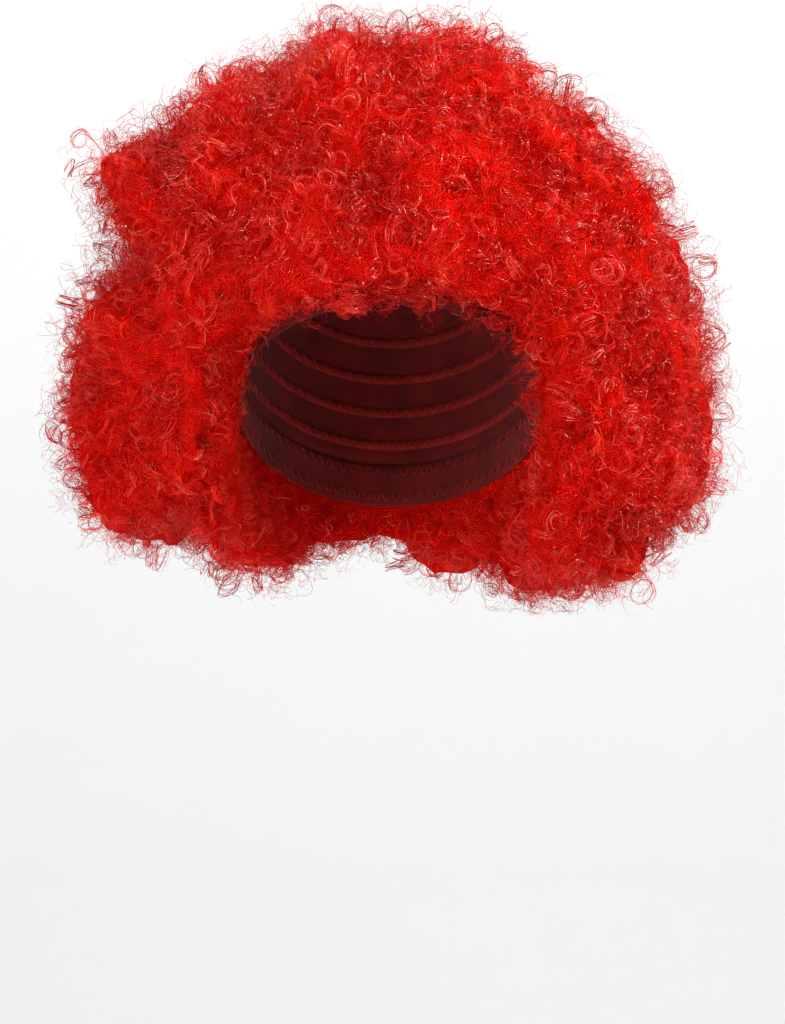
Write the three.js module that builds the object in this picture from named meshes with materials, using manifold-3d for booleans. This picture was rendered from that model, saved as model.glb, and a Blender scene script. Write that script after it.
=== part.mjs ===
// A curly clown wig: a stretch cap, the elastic band that edges it, and five sections of curly hair.
// Millimetres, +Z up, the front of the wig looks along -Y. The origin is the inside top of the cap,
// the point that rests on the crown of a head. Left and right are the head's own: left is +X.
import * as THREE from "three";
import { mergeVertices } from "three/addons/utils/BufferGeometryUtils.js";
import Module from "manifold-3d";

const wasm = await Module();
wasm.setup();

// Head that the cap fits
const HEAD_WIDTH = 148; // across, above the ears
const HEAD_LENGTH = 188; // from the front of the brow to the back
const CROWN_HEIGHT = 86; // from the widest level up to the crown
const NECK_HALF_WIDTH = 62; // half the width that stays free below the cap
const NECK_DEPTH = 150; // from the widest level down to where the free space ends
const CROWN_FULLNESS = 0.9; // 1 is an ellipse, less is squarer

// Cap and edge band
const CAP_WALL = 1.6; // stretch net with the rows of hair sewn on
const BAND_WALL = 2.6; // folded elastic
const BAND_WIDTH = 20;
const FRONT_EDGE_DROP = 50; // crown down to the band's lower edge, at the front
const NAPE_EDGE_DROP = 148; // the same at the back
const SEAM_GAP = 0.3; // between pieces that are sewn together
const CAP_SEGMENTS = 24;
const CAP_RINGS = 6;

// Hair
const HAIR_REACH = 167; // from the middle of the hair out to its usual outline
const HAIR_CENTRE_DROP = 61; // middle of the hair, below the crown
const HAIR_CENTRE_BACK = 8; // and behind it
const HAIR_AROUND = 16; // facets of the hair's inner mass
const HAIR_UP = 10;

// Opening at the front, seen from the front
const OPENING_HALF_WIDTH = 70;
const OPENING_HALF_WIDTH_LOW = 64;
const OPENING_TOP_DROP = 54; // crown down to the middle of the hairline
const OPENING_CORNER = 40; // corner radius of the hairline
const OPENING_LOW_DROP = 190; // level of the lower half width

// Locks
const LOCK_COUNT = 84; // spread over a whole ball, of which the openings leave out some
const LOCK_LOOP = 18.5; // radius of the loop that a lock makes
const LOCK_THICK = 16; // radius of a lock at its root, less than its loop's
const LOCK_TIP = 8; // and at its tip
const LOCK_LIFT = 8; // tip's height over its root's loop
const LOCK_PROUD = 24; // how far the locks stand out of the inner mass
const LOCK_SIDES = 5;
const LOCK_STEPS = 5;

// Sections of hair
const CROWN_SECTION_ANGLE = 46; // half angle of the crown section, in degrees
const FRINGE_HALF_ANGLE = 42;
const BACK_HALF_ANGLE = 40;

// The outline of the hair, seen from the middle of the hair: each row is a height angle in degrees,
// and the columns are how far the hair reaches there to each side, as shares of HAIR_REACH.
const OUTLINE = [
  { rise: -90, left: 0.8, right: 0.78, front: 0.6, back: 0.84 },
  { rise: -60, left: 0.95, right: 0.91, front: 0.6, back: 0.9 },
  { rise: -50, left: 0.99, right: 0.93, front: 0.56, back: 0.95 },
  { rise: -40, left: 1.01, right: 0.98, front: 0.54, back: 0.99 },
  { rise: -30, left: 1.02, right: 1.02, front: 0.54, back: 1.02 },
  { rise: -20, left: 1.0, right: 1.01, front: 0.56, back: 1.02 },
  { rise: -10, left: 0.97, right: 0.97, front: 0.66, back: 1.01 },
  { rise: 0, left: 0.94, right: 0.94, front: 0.79, back: 0.99 },
  { rise: 12, left: 0.91, right: 0.91, front: 0.86, back: 0.96 },
  { rise: 30, left: 0.88, right: 0.9, front: 0.89, back: 0.93 },
  { rise: 50, left: 0.87, right: 0.89, front: 0.88, back: 0.9 },
  { rise: 70, left: 0.88, right: 0.88, front: 0.88, back: 0.89 },
  { rise: 90, left: 0.88, right: 0.88, front: 0.88, back: 0.88 },
];

// Tufts that stand out of that outline, and hollows in it: bearing is counted from +X towards +Y,
// proud is a share of HAIR_REACH, and spread is the angle over which a tuft fades out.
const TUFTS = [
  { bearing: 180, rise: 29, proud: 0.08, spread: 9 },
  { bearing: 181, rise: 14, proud: -0.05, spread: 8 },
  { bearing: 183, rise: 3, proud: 0.04, spread: 8 },
  { bearing: 180, rise: -20, proud: 0.04, spread: 9 },
  { bearing: 178, rise: -48, proud: -0.05, spread: 8 },
  { bearing: 176, rise: 50, proud: 0.03, spread: 9 },
  { bearing: 180, rise: 80, proud: 0.03, spread: 8 },
  { bearing: 0, rise: 79, proud: 0.03, spread: 8 },
  { bearing: 0, rise: 60, proud: -0.03, spread: 9 },
  { bearing: 4, rise: 8, proud: 0.03, spread: 9 },
  { bearing: -2, rise: -30, proud: 0.03, spread: 10 },
  { bearing: 90, rise: 35, proud: 0.04, spread: 14 },
  { bearing: 60, rise: -12, proud: 0.03, spread: 12 },
  { bearing: 122, rise: -20, proud: 0.03, spread: 12 },
  { bearing: 100, rise: -42, proud: -0.05, spread: 10 },
  { bearing: -70, rise: 30, proud: 0.03, spread: 12 },
  { bearing: -112, rise: 42, proud: -0.03, spread: 12 },
];

// Locks along the hairline, from the middle of the front down both sides, smaller than the others.
const HAIRLINE_LOCKS = [
  { bearing: -126, rise: 4, size: 0.85 },
  { bearing: -113, rise: 12, size: 0.85 },
  { bearing: -100, rise: 9, size: 0.8 },
  { bearing: -86, rise: 13, size: 0.8 },
  { bearing: -72, rise: 11, size: 0.85 },
  { bearing: -55, rise: 5, size: 0.85 },
  { bearing: -138, rise: -10, size: 0.75 },
  { bearing: -142, rise: -25, size: 0.75 },
  { bearing: -148, rise: -40, size: 0.75 },
  { bearing: -42, rise: -12, size: 0.75 },
  { bearing: -38, rise: -27, size: 0.75 },
  { bearing: -32, rise: -42, size: 0.75 },
];

const GOLDEN_TURN = Math.PI * (3 - Math.sqrt(5));
const FAR = 400; // beyond every part of the wig
const HAIR_CENTRE = new THREE.Vector3(0, HAIR_CENTRE_BACK, -HAIR_CENTRE_DROP);
const UP = new THREE.Vector3(0, 0, 1);
const rad = THREE.MathUtils.degToRad;
const lerp = THREE.MathUtils.lerp;

// A closed geometry as a solid, whichever way its faces point.
function solidOf(geometry) {
  const bare = new THREE.BufferGeometry()
    .setAttribute("position", geometry.getAttribute("position"))
    .setIndex(geometry.getIndex());
  const merged = mergeVertices(bare, 1e-3);
  const points = merged.getAttribute("position").array;
  const corner = (i) => new THREE.Vector3().fromArray(points, 3 * i);
  const faces = [];
  let volume = 0;
  for (let i = 0; i < merged.index.count; i += 3) {
    const [a, b, c] = merged.index.array.slice(i, i + 3);
    if (a === b || b === c || c === a) continue;
    faces.push([a, b, c]);
    volume += corner(a).dot(corner(b).cross(corner(c)));
  }
  const triVerts = new Uint32Array(faces.flatMap((f) => (volume < 0 ? [f[0], f[2], f[1]] : f)));
  return new wasm.Manifold(new wasm.Mesh({ numProp: 3, vertProperties: points, triVerts }));
}

// The largest body of a solid, without the crumbs that a cut leaves.
function largestBody(solid) {
  const bodies = solid.decompose();
  return bodies.reduce((best, body) => (body.volume() > best.volume() ? body : best));
}

function meshOf(name, solid, look) {
  const { numProp, numVert, vertProperties, triVerts } = solid.getMesh();
  const points = new Float32Array(3 * numVert);
  for (let i = 0; i < numVert; i++) {
    points.set(vertProperties.subarray(i * numProp, i * numProp + 3), 3 * i);
  }
  const geometry = new THREE.BufferGeometry()
    .setAttribute("position", new THREE.BufferAttribute(points, 3))
    .setIndex(new THREE.BufferAttribute(triVerts, 1));
  geometry.computeVertexNormals();
  const mesh = new THREE.Mesh(geometry, look);
  mesh.name = name;
  return mesh;
}

// Head form

// Half outline of the head form, grown by an offset, from the crown down to the end of the neck.
function headProfile(offset) {
  const width = HEAD_WIDTH / 2 + offset;
  const profile = [];
  for (let i = 0; i <= CAP_RINGS; i++) {
    const turn = (i / CAP_RINGS) * (Math.PI / 2);
    const out = width * Math.sin(turn) ** CROWN_FULLNESS;
    const up = (CROWN_HEIGHT + offset) * Math.cos(turn) ** CROWN_FULLNESS;
    profile.push(new THREE.Vector2(i === 0 ? 0 : out, i === CAP_RINGS ? -CROWN_HEIGHT : up - CROWN_HEIGHT));
  }
  const neckRings = 4;
  for (let i = 1; i <= neckRings; i++) {
    const down = i / neckRings;
    const out = lerp(width, NECK_HALF_WIDTH + offset, THREE.MathUtils.smoothstep(down, 0, 1));
    profile.push(new THREE.Vector2(out, -CROWN_HEIGHT - down * NECK_DEPTH));
  }
  return profile;
}

// A profile turned round the head's axis and drawn out to the head's length.
function turned(profile) {
  const geometry = new THREE.LatheGeometry(profile, CAP_SEGMENTS);
  geometry.rotateX(Math.PI / 2);
  geometry.scale(1, HEAD_LENGTH / HEAD_WIDTH, 1);
  return solidOf(geometry);
}

function headForm(offset) {
  const profile = headProfile(offset);
  profile.push(new THREE.Vector2(0, profile.at(-1).y));
  return turned(profile);
}

function headShell(outside, inside) {
  return turned([...headProfile(outside), ...headProfile(inside).reverse()]);
}

// Everything above the cap's slanting edge, raised by some millimetres.
function aboveEdge(raised) {
  const slant = Math.atan2(NAPE_EDGE_DROP - FRONT_EDGE_DROP, HEAD_LENGTH);
  const block = new THREE.BoxGeometry(FAR, 2 * FAR, FAR);
  block.translate(0, 0, FAR / 2 + raised);
  block.rotateX(-slant);
  block.translate(0, 0, -(FRONT_EDGE_DROP + NAPE_EDGE_DROP) / 2);
  return solidOf(block);
}

function makeCap() {
  return headShell(CAP_WALL, 0).intersect(aboveEdge(BAND_WIDTH + SEAM_GAP));
}

function makeEdgeBand() {
  const strip = aboveEdge(0).subtract(aboveEdge(BAND_WIDTH));
  return headShell(CAP_WALL, CAP_WALL - BAND_WALL).intersect(strip);
}

// Hair

// How far the hair reaches in a direction from its middle, without its locks.
function reachOf(direction) {
  const rise = THREE.MathUtils.radToDeg(Math.asin(THREE.MathUtils.clamp(direction.z, -1, 1)));
  const above = Math.max(1, OUTLINE.findIndex((row) => row.rise >= rise));
  const [low, high] = [OUTLINE[above - 1], OUTLINE[above]];
  const share = (rise - low.rise) / (high.rise - low.rise);
  const side = direction.x > 0 ? "left" : "right";
  const end = direction.y > 0 ? "back" : "front";
  const across = lerp(low[side], high[side], share);
  const along = lerp(low[end], high[end], share);
  const flat = Math.hypot(direction.x, direction.y);
  const turn = flat < 1e-6 ? 0.5 : (direction.y / flat) ** 2;
  let reach = lerp(across, along, turn);
  for (const tuft of TUFTS) {
    const apart = THREE.MathUtils.radToDeg(direction.angleTo(directionAt(tuft.bearing, tuft.rise)));
    reach += tuft.proud * Math.exp(-((apart / tuft.spread) ** 2));
  }
  return reach * HAIR_REACH;
}

function directionAt(bearing, rise) {
  const flat = Math.cos(rad(rise));
  return new THREE.Vector3(flat * Math.cos(rad(bearing)), flat * Math.sin(rad(bearing)), Math.sin(rad(rise)));
}

// The hair's inner mass, which the locks stand on.
function hairMass() {
  const ball = new THREE.SphereGeometry(1, HAIR_AROUND, HAIR_UP);
  ball.rotateX(Math.PI / 2);
  const place = ball.getAttribute("position");
  for (let i = 0; i < place.count; i++) {
    const direction = new THREE.Vector3().fromBufferAttribute(place, i).normalize();
    const point = direction.clone().multiplyScalar(reachOf(direction) - LOCK_PROUD).add(HAIR_CENTRE);
    place.setXYZ(i, point.x, point.y, point.z);
  }
  return solidOf(ball);
}

// The space in front, an arch that runs out through the bottom.
function frontOpening() {
  const wide = OPENING_HALF_WIDTH;
  const top = -OPENING_TOP_DROP;
  const corner = OPENING_CORNER;
  const arch = new THREE.Shape();
  arch.moveTo(-OPENING_HALF_WIDTH_LOW, -FAR);
  arch.lineTo(-OPENING_HALF_WIDTH_LOW, -OPENING_LOW_DROP);
  arch.lineTo(-wide, top - 2 * corner);
  arch.lineTo(-wide, top - corner);
  arch.absarc(-wide + corner, top - corner, corner, Math.PI, Math.PI / 2, true);
  arch.absarc(wide - corner, top - corner, corner, Math.PI / 2, 0, true);
  arch.lineTo(wide, top - 2 * corner);
  arch.lineTo(OPENING_HALF_WIDTH_LOW, -OPENING_LOW_DROP);
  arch.lineTo(OPENING_HALF_WIDTH_LOW, -FAR);
  const block = new THREE.ExtrudeGeometry(arch, { depth: FAR, bevelEnabled: false, curveSegments: 5 });
  block.rotateX(Math.PI / 2);
  return solidOf(block);
}

// A number from -1 to 1 that differs from lock to lock and is the same on each run.
function vary(lock, which) {
  const wave = Math.sin(lock * 12.9898 + which * 78.233) * 43758.5453;
  return 2 * (wave - Math.floor(wave)) - 1;
}

// A closed tube along a curve, thinner towards its end. Growing it moves its whole skin out.
function taperedTube(curve, thick, thin, grown) {
  const { tangents, normals, binormals } = curve.computeFrenetFrames(LOCK_STEPS, false);
  const points = [];
  const faces = [];
  for (let i = 0; i <= LOCK_STEPS; i++) {
    const beyond = i === 0 ? -grown : i === LOCK_STEPS ? grown : 0;
    const centre = curve.getPointAt(i / LOCK_STEPS).addScaledVector(tangents[i], beyond);
    const radius = lerp(thick, thin, i / LOCK_STEPS) + 1.4 * grown;
    for (let k = 0; k < LOCK_SIDES; k++) {
      const turn = (2 * Math.PI * k) / LOCK_SIDES;
      const point = centre
        .clone()
        .addScaledVector(normals[i], radius * Math.cos(turn))
        .addScaledVector(binormals[i], radius * Math.sin(turn));
      points.push(...point.toArray());
    }
  }
  const at = (i, k) => i * LOCK_SIDES + (k % LOCK_SIDES);
  for (let i = 0; i < LOCK_STEPS; i++) {
    for (let k = 0; k < LOCK_SIDES; k++) {
      faces.push(at(i, k), at(i, k + 1), at(i + 1, k + 1), at(i, k), at(i + 1, k + 1), at(i + 1, k));
    }
  }
  for (let k = 1; k < LOCK_SIDES - 1; k++) {
    faces.push(at(0, 0), at(0, k + 1), at(0, k), at(LOCK_STEPS, 0), at(LOCK_STEPS, k), at(LOCK_STEPS, k + 1));
  }
  const tube = new THREE.BufferGeometry().setAttribute("position", new THREE.Float32BufferAttribute(points, 3));
  return solidOf(tube.setIndex(faces));
}

// One lock: it leaves the mass, loops over, and ends in a tip a little above the mass.
function lock(number, { base, outward, size }, grown) {
  const scale = size * (1 + 0.13 * vary(number, 3));
  const across = new THREE.Vector3().crossVectors(outward, UP).normalize();
  across.applyAxisAngle(outward, Math.PI * vary(number, 1));
  const lean = rad(48 + 20 * vary(number, 2));
  const other = new THREE.Vector3().crossVectors(outward, across);
  const rising = outward.clone().multiplyScalar(Math.cos(lean)).addScaledVector(other, Math.sin(lean));
  const points = [];
  for (let i = 0; i <= LOCK_STEPS; i++) {
    const turn = rad(lerp(-35, 245, i / LOCK_STEPS));
    const point = base
      .clone()
      .addScaledVector(across, scale * LOCK_LOOP * Math.cos(turn))
      .addScaledVector(rising, scale * LOCK_LOOP * Math.sin(turn))
      .addScaledVector(outward, (scale * LOCK_LIFT * i) / LOCK_STEPS);
    points.push(point);
  }
  return taperedTube(new THREE.CatmullRomCurve3(points), scale * LOCK_THICK, scale * LOCK_TIP, grown);
}

// Whether a lock that starts at a point would reach into the front opening or where the neck goes.
function reachesOpening(point) {
  const room = 0.7 * LOCK_LOOP;
  const beside = Math.abs(point.x) < OPENING_HALF_WIDTH + room;
  const inArch = beside && point.z < room - OPENING_TOP_DROP && point.y < 0;
  const inNeck = Math.hypot(point.x / HEAD_WIDTH, point.y / HEAD_LENGTH) < 0.62 && point.z < -CROWN_HEIGHT;
  return inArch || inNeck;
}

// Where each lock starts, which way is out there, and its size as a share of the usual one.
function lockPlaces() {
  const place = (bearing, rise, size) => {
    const outward = directionAt(bearing, rise);
    const base = outward.clone().multiplyScalar(reachOf(outward) - LOCK_PROUD * size).add(HAIR_CENTRE);
    return { base, outward, size };
  };
  const spread = [];
  for (let i = 0; i < LOCK_COUNT; i++) {
    const rise = THREE.MathUtils.radToDeg(Math.asin(1 - (2 * i + 1) / LOCK_COUNT));
    spread.push(place(THREE.MathUtils.radToDeg(i * GOLDEN_TURN), rise, 1));
  }
  const hairline = HAIRLINE_LOCKS.map(({ bearing, rise, size }) => place(bearing, rise, size));
  return [...hairline, ...spread.filter(({ base }) => !reachesOpening(base))];
}

// A cone round the upright through the middle of the hair. Its point is lowered to widen it by a gap.
function crownCone(gap) {
  const cone = new THREE.ConeGeometry(FAR * Math.tan(rad(CROWN_SECTION_ANGLE)), FAR, 24);
  cone.rotateX(-Math.PI / 2);
  cone.translate(0, 0, FAR / 2 - gap / Math.sin(rad(CROWN_SECTION_ANGLE)));
  cone.translate(...HAIR_CENTRE.toArray());
  return solidOf(cone);
}

// An upright wedge between two bearings from the middle of the hair, short of both by half a gap.
function wedge(from, to) {
  const middle = rad((from + to) / 2);
  const half = rad((to - from) / 2);
  const back = SEAM_GAP / 2 / Math.sin(half);
  const plan = new THREE.Shape();
  plan.moveTo(0, 0);
  const sides = 4;
  for (let i = 0; i <= sides; i++) {
    const bearing = lerp(middle - half, middle + half, i / sides);
    plan.lineTo(FAR * Math.cos(bearing), FAR * Math.sin(bearing));
  }
  const block = new THREE.ExtrudeGeometry(plan, { depth: 2 * FAR, bevelEnabled: false });
  block.translate(back * Math.cos(middle), back * Math.sin(middle) + HAIR_CENTRE.y, -FAR);
  return solidOf(block);
}

// Which section a lock belongs to, by where it starts.
function sectionOf({ base }) {
  const from = base.clone().sub(HAIR_CENTRE);
  if (from.angleTo(UP) < rad(CROWN_SECTION_ANGLE)) return "crown_hair";
  const offFront = Math.abs(THREE.MathUtils.radToDeg(Math.atan2(from.x, -from.y)));
  if (offFront < FRINGE_HALF_ANGLE) return "fringe_hair";
  if (offFront > 180 - BACK_HALF_ANGLE) return "back_hair";
  return from.x > 0 ? "left_hair" : "right_hair";
}

// Each section is its share of the mass with its own whole locks, clear of its neighbours' locks.
function makeHair() {
  const mass = hairMass().subtract(frontOpening());
  const around = mass.subtract(crownCone(SEAM_GAP));
  const shares = {
    crown_hair: mass.intersect(crownCone(0)),
    fringe_hair: around.intersect(wedge(-90 - FRINGE_HALF_ANGLE, -90 + FRINGE_HALF_ANGLE)),
    left_hair: around.intersect(wedge(-90 + FRINGE_HALF_ANGLE, 90 - BACK_HALF_ANGLE)),
    back_hair: around.intersect(wedge(90 - BACK_HALF_ANGLE, 90 + BACK_HALF_ANGLE)),
    right_hair: around.intersect(wedge(90 + BACK_HALF_ANGLE, 270 - FRINGE_HALF_ANGLE)),
  };
  const places = lockPlaces();
  const locksOf = (names, grown) =>
    wasm.Manifold.union(
      places.map((place, i) => (names.includes(sectionOf(place)) ? lock(i, place, grown) : null)).filter(Boolean),
    );
  const head = headForm(CAP_WALL + SEAM_GAP);
  const names = Object.keys(shares);
  const sections = names.map((name, i) => {
    const others = names.filter((other) => other !== name);
    const ownMass = shares[name].subtract(locksOf(others, SEAM_GAP));
    const ownLocks = locksOf([name], 0).subtract(locksOf(names.slice(0, i), SEAM_GAP));
    return [name, largestBody(ownMass.add(ownLocks).subtract(head))];
  });
  return Object.fromEntries(sections);
}

// Colours
const hairLook = new THREE.MeshStandardMaterial({ color: 0xc90d05, roughness: 0.55, metalness: 0 });
const netLook = new THREE.MeshStandardMaterial({ color: 0x2a0d0d, roughness: 0.85, metalness: 0 });
const elasticLook = new THREE.MeshStandardMaterial({ color: 0x1c1416, roughness: 0.8, metalness: 0 });

const wig = new THREE.Group();
const base = new THREE.Group();
const hair = new THREE.Group();
base.add(meshOf("cap", makeCap(), netLook), meshOf("edge_band", makeEdgeBand(), elasticLook));
for (const [name, solid] of Object.entries(makeHair())) {
  hair.add(meshOf(name, solid, hairLook));
}
wig.add(base, hair);

export default wig;
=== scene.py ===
"""A curly clown wig: dense curled fibre in five sections, on a stretch cap with an elastic edge band.

Everything is in metres in the frame of the solids: +Z up, the face opening looks along -Y, and the
origin is the inside top of the cap.
"""

import logging  # noqa: E402
import math  # noqa: E402
from dataclasses import dataclass, field  # noqa: E402
from enum import Enum  # noqa: E402

import bpy  # noqa: E402
import numpy as np  # noqa: E402
from mathutils import Matrix, Vector, noise  # noqa: E402
from mathutils.bvhtree import BVHTree  # noqa: E402

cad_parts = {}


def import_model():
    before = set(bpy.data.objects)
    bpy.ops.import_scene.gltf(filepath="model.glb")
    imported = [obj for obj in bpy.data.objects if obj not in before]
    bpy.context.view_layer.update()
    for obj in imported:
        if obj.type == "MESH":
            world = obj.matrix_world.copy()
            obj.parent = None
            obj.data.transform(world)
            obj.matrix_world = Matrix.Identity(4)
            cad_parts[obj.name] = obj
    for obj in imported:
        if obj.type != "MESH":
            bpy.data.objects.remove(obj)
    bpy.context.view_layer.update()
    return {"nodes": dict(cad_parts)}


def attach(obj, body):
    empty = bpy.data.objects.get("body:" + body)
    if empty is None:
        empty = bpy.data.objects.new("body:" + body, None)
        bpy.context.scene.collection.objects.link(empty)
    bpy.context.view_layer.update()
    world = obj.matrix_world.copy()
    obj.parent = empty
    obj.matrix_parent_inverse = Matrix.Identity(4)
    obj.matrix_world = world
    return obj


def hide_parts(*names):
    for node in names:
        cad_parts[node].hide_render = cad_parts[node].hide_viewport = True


LOG = logging.getLogger("wig")
BODY = "root"
MM = 0.001
HAIR_CENTRE = (0.0, 8 * MM, -61 * MM)
TONE_MAP = "OFBake"  # the map that holds each fibre's tone across and its length along
FLOW_SEED = 7
Array = np.ndarray


def mm(*lengths: float) -> tuple[float, ...]:
    """Lengths given in millimetres, in metres."""
    return tuple(length * MM for length in lengths)


class Section(Enum):
    """The wig's sections of hair, by the solid that each one dresses."""

    CROWN = "crown_hair"
    FRINGE = "fringe_hair"
    LEFT = "left_hair"
    BACK = "back_hair"
    RIGHT = "right_hair"


# Mesh helpers


def deselect_all() -> None:
    """Leaves nothing selected and no object active."""
    for thing in list(bpy.context.selected_objects):
        thing.select_set(False)
    bpy.context.view_layer.objects.active = None


def make_active(thing: bpy.types.Object) -> None:
    """Selects one object alone and makes it the active one."""
    deselect_all()
    thing.select_set(True)
    bpy.context.view_layer.objects.active = thing


def placed(name: str, data: bpy.types.ID) -> bpy.types.Object:
    """Makes an object of a mesh, a light or a camera, and links it to the scene."""
    thing = bpy.data.objects.new(name, data)
    bpy.context.scene.collection.objects.link(thing)
    return thing


def mesh_object(name: str, points: Array, faces: Array, uv: Array | None = None) -> bpy.types.Object:
    """Makes an object from arrays of points and faces that all have as many corners.

    Args:
        name: The object's name.
        points: Positions, one row each.
        faces: Point numbers, one face a row.
        uv: A tone and a length for each point, or None.

    Returns:
        The new object, linked to the scene.
    """
    mesh = bpy.data.meshes.new(name)
    corners = faces.shape[1]
    mesh.vertices.add(len(points))
    mesh.vertices.foreach_set("co", np.ascontiguousarray(points, np.float32).ravel())
    mesh.loops.add(faces.size)
    mesh.loops.foreach_set("vertex_index", np.ascontiguousarray(faces, np.int32).ravel())
    mesh.polygons.add(len(faces))
    mesh.polygons.foreach_set("loop_start", np.arange(0, faces.size, corners, dtype=np.int32))
    if uv is not None:
        layer = mesh.uv_layers.new(name=TONE_MAP)
        layer.data.foreach_set("uv", np.ascontiguousarray(uv[faces.ravel()], np.float32).ravel())
    mesh.update(calc_edges=True)
    mesh.validate()
    return placed(name, mesh)


def apply_modifier(thing: bpy.types.Object, kind: str, **settings: object) -> None:
    """Adds one modifier to an object and applies it.

    Args:
        thing: The object.
        kind: The modifier's type.
        settings: The modifier's settings by name.
    """
    make_active(thing)
    modifier = thing.modifiers.new(kind.title(), kind)
    for key, value in settings.items():
        setattr(modifier, key, value)
    bpy.ops.object.modifier_apply(modifier=modifier.name)


def points_of(thing: bpy.types.Object) -> Array:
    """The positions of an object's points, one row each."""
    flat = np.empty(3 * len(thing.data.vertices), np.float32)
    thing.data.vertices.foreach_get("co", flat)
    return flat.reshape(-1, 3).astype(float)


def normals_of(thing: bpy.types.Object) -> Array:
    """The normals at an object's points, one row each."""
    flat = np.empty(3 * len(thing.data.vertices), np.float32)
    thing.data.vertex_normals.foreach_get("vector", flat)
    return flat.reshape(-1, 3).astype(float)


def move_points(thing: bpy.types.Object, points: Array) -> None:
    """Gives an object's points new positions, one row each."""
    thing.data.vertices.foreach_set("co", points.astype(np.float32).ravel())
    thing.data.update()


def shade_smooth(thing: bpy.types.Object) -> None:
    """Shades every face of an object smooth."""
    thing.data.polygons.foreach_set("use_smooth", [True] * len(thing.data.polygons))


def triangle_count(thing: bpy.types.Object) -> int:
    """The number of triangles that an object's faces make."""
    return sum(len(face.vertices) - 2 for face in thing.data.polygons)


def above_low(points: Array, low: float | Array) -> Array:
    """Draws points below a level, or below a level for each, most of the way back up to it."""
    below = np.minimum(points[:, 2:] - low, 0.0)
    return points - below * np.array([0.0, 0.0, 0.65])


def unit(rows: Array) -> Array:
    """Rows of vectors, each at length 1."""
    return rows / np.maximum(np.linalg.norm(rows, axis=-1, keepdims=True), 1e-12)


def ring_faces(rings: int, sides: int) -> Array:
    """Four-cornered faces between closed rings of points, the last ring joined to the first.

    Args:
        rings: The number of rings.
        sides: The number of points in each.

    Returns:
        Point numbers, one face a row.
    """
    i = np.arange(rings)[:, None]
    k = np.arange(sides)[None, :]
    after, beside = (i + 1) % rings, (k + 1) % sides
    corners = (i * sides + k, i * sides + beside, after * sides + beside, after * sides + k)
    return np.stack(corners, axis=-1).reshape(-1, 4)


def settle(thing: bpy.types.Object, look: bpy.types.Material, slot: str, *replaced: str) -> None:
    """Gives a finished piece its material and its place on the wig, and reports it.

    Args:
        thing: The piece.
        look: Its material.
        slot: The record's material slot; not used.
        replaced: The solids that it stands for.
    """
    thing.data.materials.clear()
    thing.data.materials.append(look)
    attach(thing, BODY)
    if replaced:
        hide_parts(*replaced)
    LOG.info("%s: %d triangles", thing.name, triangle_count(thing))


# Finishes


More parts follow.
